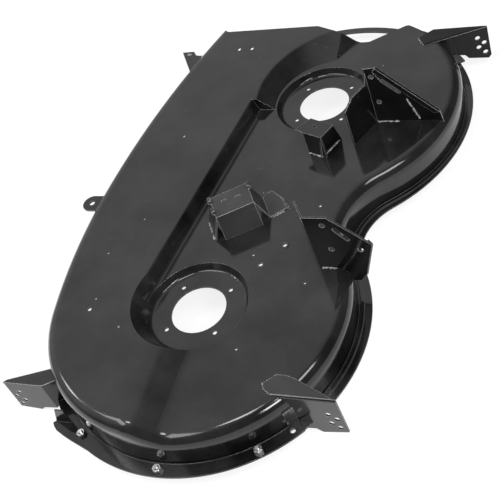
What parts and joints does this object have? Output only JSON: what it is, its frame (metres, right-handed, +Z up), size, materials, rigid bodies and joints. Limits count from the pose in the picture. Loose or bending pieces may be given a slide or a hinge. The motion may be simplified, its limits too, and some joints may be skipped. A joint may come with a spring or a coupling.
{
  "type": "lawn mower deck",
  "caption": "Pressed steel mower deck shell with two stepped round spindle seats, a raised front air channel, an open discharge side, and welded wheel and hanger brackets.",
  "frame": {"origin": "centre of the left spindle opening, on the upper face of its seat", "axes": "+X towards the discharge side, +Y towards the front of the machine, +Z up along the spindle"},
  "size_m": [1.029, 0.6568, 0.2035],
  "materials": {
    "painted_black": "gloss",
    "zinc": "satin"
  },
  "bodies": {
    "root": {"shell": "painted_black", "discharge_hoop": "painted_black", "skirt_strip": "painted_black", "skirt_bolts": "zinc", "skirt_nuts": "zinc", "front_left_bracket": "painted_black", "rear_left_bracket": "painted_black", "rear_right_bracket": "painted_black", "front_hanger_tab": "painted_black", "front_slot_tab": "painted_black", "belt_guard_bracket": "painted_black", "spindle_side_bracket": "painted_black", "rear_hanger_left": "painted_black", "rear_hanger_right": "painted_black"}
  },
  "joints": []
}
